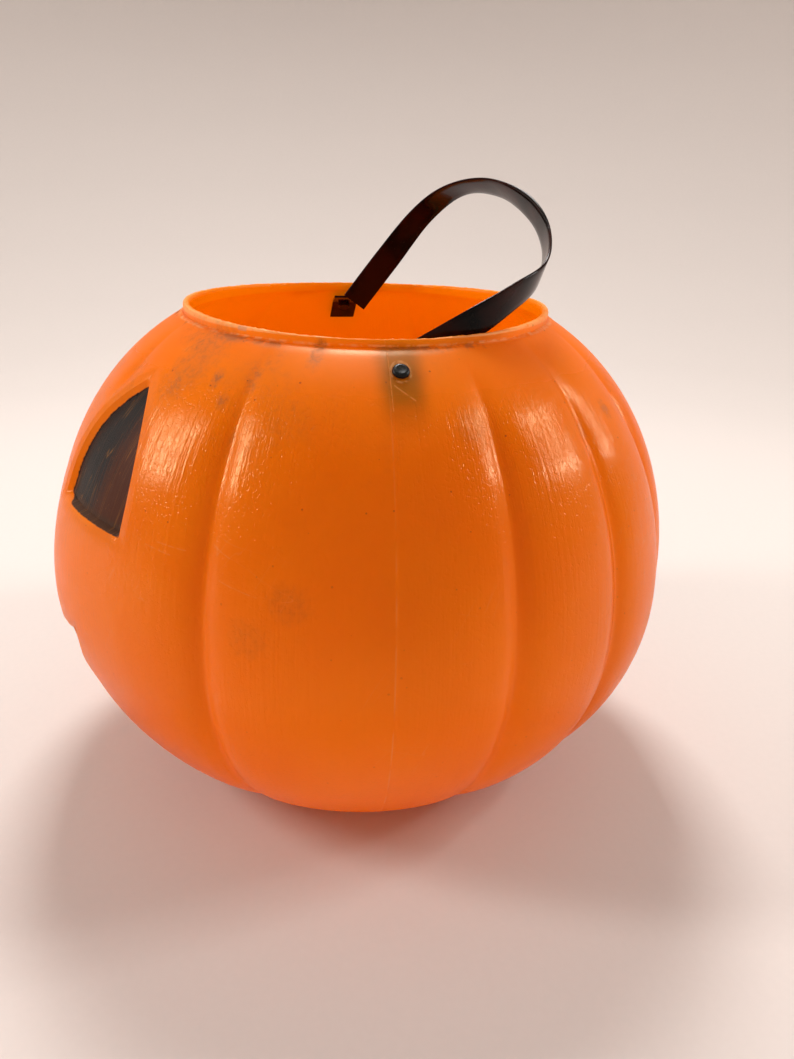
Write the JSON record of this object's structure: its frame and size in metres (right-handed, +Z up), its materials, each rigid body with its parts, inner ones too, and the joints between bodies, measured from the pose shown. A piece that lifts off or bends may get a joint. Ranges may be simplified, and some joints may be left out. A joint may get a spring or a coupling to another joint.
{
  "type": "pumpkin candy pail",
  "caption": "Squat lobed pumpkin-shaped plastic pail with an open mouth, a sunken jack-o'-lantern face and a riveted strap handle that swings.",
  "frame": {"origin": "centre of the base, on the surface that the pail stands on", "axes": "+Z up, the face looks along -Y, the handle's pivot line lies along X turned three degrees"},
  "size_m": [0.2298, 0.2287, 0.2194],
  "materials": {
    "orange_shell": "satin translucent orange polyethylene, face painted black and worn",
    "black_strap": "glossy brown-black plastic strap",
    "black_rivet": "glossy black plastic rivet"
  },
  "bodies": {
    "pail": {"pail_shell": "orange_shell", "rivet_near": "black_rivet", "rivet_far": "black_rivet", "strap_end_near": "black_strap", "strap_end_far": "black_strap"},
    "handle": {"handle_strap": "black_strap"}
  },
  "joints": [
    {"name": "handle_swing", "type": "hinge", "parent": "pail", "child": "handle", "pos_m": [0, 0, 0.1695], "axis": [0.9986, 0.0523, 0], "range_deg": [-3, 108]}
  ]
}
